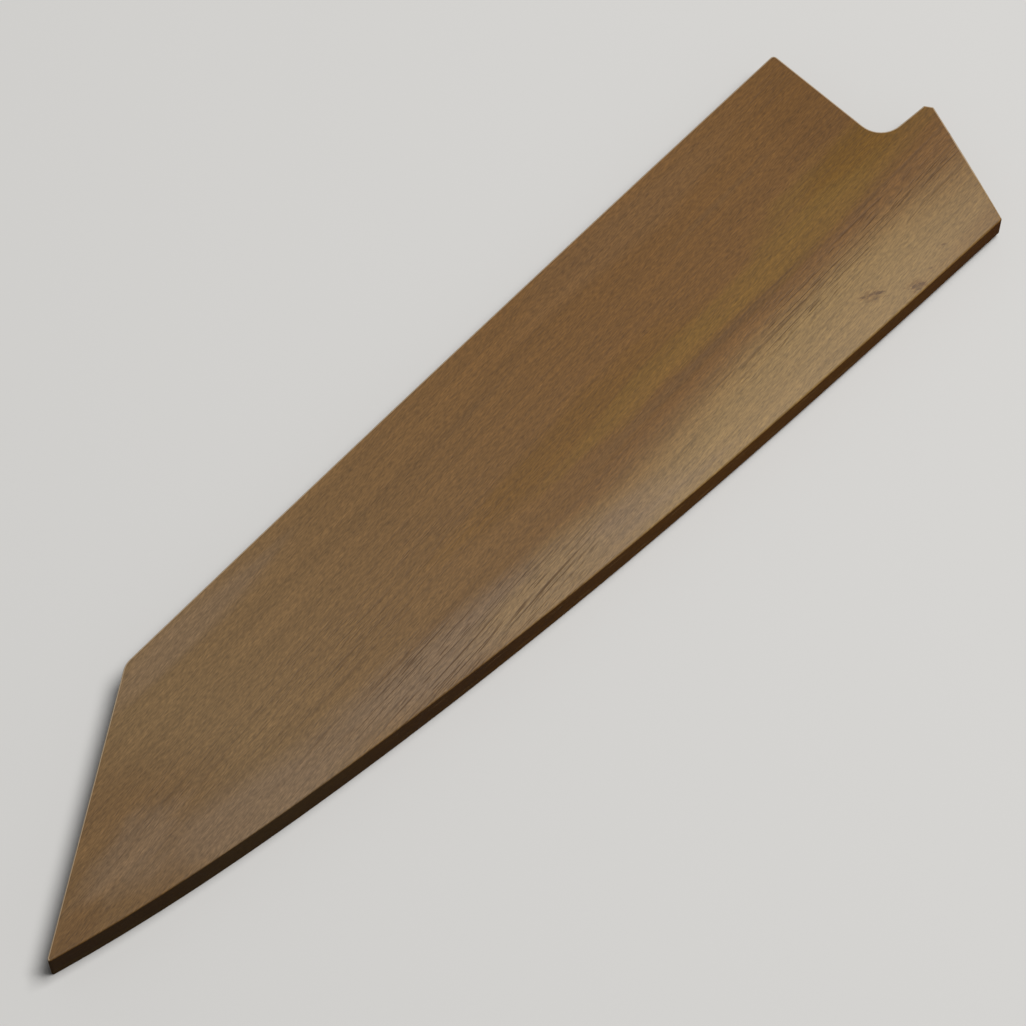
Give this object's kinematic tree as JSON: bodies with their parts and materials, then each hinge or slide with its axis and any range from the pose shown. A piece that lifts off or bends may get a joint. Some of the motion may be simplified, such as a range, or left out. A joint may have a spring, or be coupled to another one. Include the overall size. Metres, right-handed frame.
{
  "type": "knife blade guard",
  "caption": "Pinless wooden sheath for a broad kitchen blade with a slanted tip; the blade slides in through a stepped mouth.",
  "frame": {"origin": "under the middle of the guard's overall box, on the face that it lies on", "axes": "+X along the spine from the mouth towards the tip, +Y from the spine to the cutting edge, +Z out of the front face"},
  "size_m": [0.2626, 0.0608, 0.011],
  "materials": {
    "board_wood": "planed and lightly sanded, no varnish",
    "core_wood": "planed, no varnish",
    "magnet_nickel": "satin nickel plate"
  },
  "bodies": {
    "root": {"front_board": "board_wood", "rear_board": "board_wood", "spine_strip": "core_wood", "tip_strip": "core_wood", "edge_strip": "core_wood", "front_magnet_1": "magnet_nickel", "front_magnet_2": "magnet_nickel", "front_magnet_3": "magnet_nickel", "rear_magnet_1": "magnet_nickel", "rear_magnet_2": "magnet_nickel", "rear_magnet_3": "magnet_nickel"}
  },
  "joints": []
}
